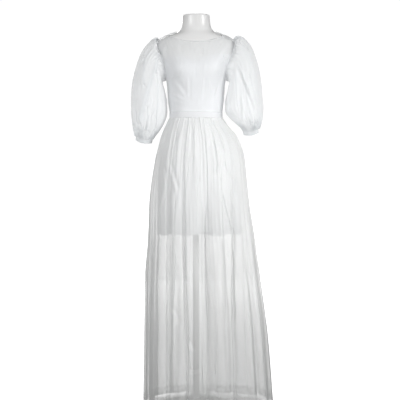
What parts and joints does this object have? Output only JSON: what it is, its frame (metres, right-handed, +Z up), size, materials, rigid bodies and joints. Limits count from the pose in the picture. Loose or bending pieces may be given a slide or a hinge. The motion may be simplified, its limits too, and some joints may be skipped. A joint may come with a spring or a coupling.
{
  "type": "evening gown on a dress form",
  "caption": "White sheer gathered evening gown with puffed sleeves over an opaque strapless lining, worn by a headless dress form on a pole and round base.",
  "frame": {"origin": "on the floor, under the middle of the stand's round base", "axes": "+Z up, the gown's front faces -Y, the wearer's left side is at +X"},
  "size_m": [0.5697, 0.4559, 1.556],
  "materials": {
    "organza": "sheer, crisp, soft sheen",
    "lining": "smooth satin sheen",
    "form": "smooth semi-gloss",
    "stand": "semi-gloss white paint",
    "zip": "satin"
  },
  "bodies": {
    "gown": {"form_torso": "form", "stand_pole": "stand", "stand_base": "stand", "bodice_front": "organza", "bodice_back_left": "organza", "bodice_back_right": "organza", "neck_binding": "organza", "lining_bodice_front": "lining", "lining_bodice_back_left": "lining", "lining_bodice_back_right": "lining", "waistband": "lining", "skirt_front": "organza", "skirt_back_left": "organza", "skirt_back_right": "organza", "lining_skirt_front": "lining", "lining_skirt_back_left": "lining", "lining_skirt_back_right": "lining", "sleeve_left": "organza", "sleeve_right": "organza", "cuff_left": "organza", "cuff_right": "organza", "zip_chain": "zip", "zip_slider": "zip"},
    "zip_pull": {"zip_pull": "zip"}
  },
  "joints": [
    {"name": "zip_pull_swing", "type": "hinge", "parent": "gown", "child": "zip_pull", "pos_m": [0, 0.09403, 1.45437], "axis": [1, 0, 0], "range_deg": [0, 150]}
  ]
}
